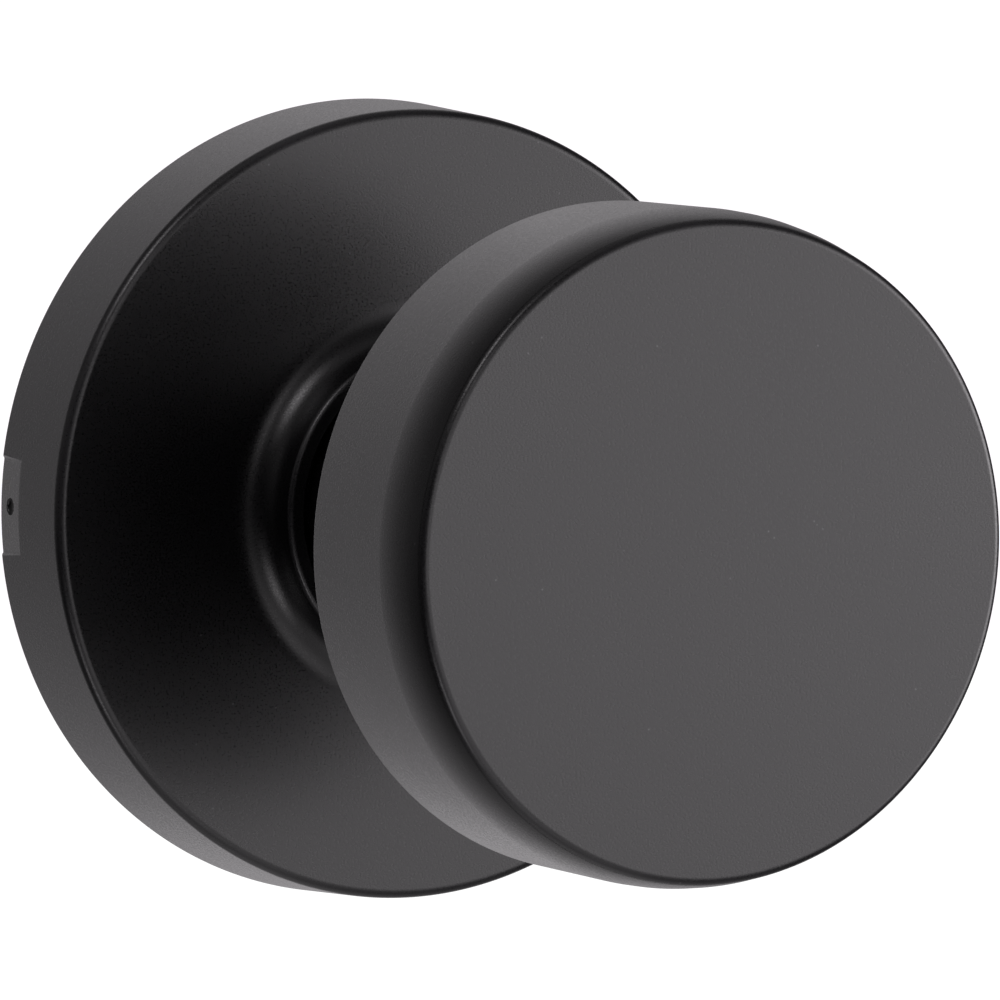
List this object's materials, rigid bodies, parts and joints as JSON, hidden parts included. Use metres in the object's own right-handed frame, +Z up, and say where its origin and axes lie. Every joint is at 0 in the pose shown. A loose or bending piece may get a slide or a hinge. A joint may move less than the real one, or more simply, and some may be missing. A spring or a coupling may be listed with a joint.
{
  "type": "door knob",
  "caption": "Round drum door knob on a short neck with a round clip-on rose and the sprung mounting chassis, threaded posts and half-round spindle behind it.",
  "frame": {"origin": "where the knob's axis meets the plane of the door face, which is the rear face of the chassis plate", "axes": "-Y points out of the door towards the hand, along the knob's axis; +Y runs into the door with the posts and spindle; +Z is up; +X is to the right seen from in front, and the pry notch is at -X"},
  "size_m": [0.0664, 0.106, 0.0666],
  "materials": {
    "black_finish": "matte black coating with a fine even grain, a little brighter on worn edges",
    "plated_steel": "zinc-plated pressed steel, satin",
    "spring_steel": "bright drawn spring steel",
    "cast_zinc": "as-cast zinc, dull grey",
    "white_nylon": "moulded natural nylon",
    "sintered_bronze": "oil-filled sintered bronze"
  },
  "bodies": {
    "chassis": {"chassis_plate": "plated_steel", "mounting_posts": "plated_steel", "spring_cage": "plated_steel", "cage_rivets": "plated_steel", "return_spring": "spring_steel", "hub_bush": "sintered_bronze", "front_bush": "white_nylon", "snap_clips": "spring_steel", "clip_rivets": "plated_steel"},
    "knob": {"knob_shell": "black_finish", "knob_back_plate": "black_finish", "knob_stiffener": "plated_steel", "knob_shank": "black_finish", "shank_flange": "plated_steel", "shank_rivets": "black_finish", "drive_insert": "cast_zinc", "drive_tube": "plated_steel", "spindle": "plated_steel", "spindle_sleeve": "cast_zinc", "spindle_pin": "plated_steel", "spring_driver": "plated_steel", "retaining_ring": "spring_steel", "thrust_washer": "sintered_bronze", "wave_washer": "spring_steel", "catch_spring": "spring_steel"},
    "catch": {"knob_catch": "plated_steel"},
    "rose": {"rose": "black_finish", "rose_insert": "white_nylon"}
  },
  "joints": [
    {"name": "knob_turn", "type": "hinge", "parent": "chassis", "child": "knob", "pos_m": [0, 0, 0], "axis": [0, 1, 0], "range_deg": [-70, 70], "stiffness_Nm_per_rad": 0.25, "deforming": ["return_spring"]},
    {"name": "catch_press", "type": "slide", "parent": "knob", "child": "catch", "axis": [0, 0, 1], "range_m": [0, 0.004], "stiffness_N_per_m": 1000, "springref_m": -0.003, "deforming": ["catch_spring"]},
    {"name": "rose_release", "type": "slide", "parent": "chassis", "child": "rose", "axis": [0, -1, 0], "range_m": [0, 0.0291]}
  ]
}
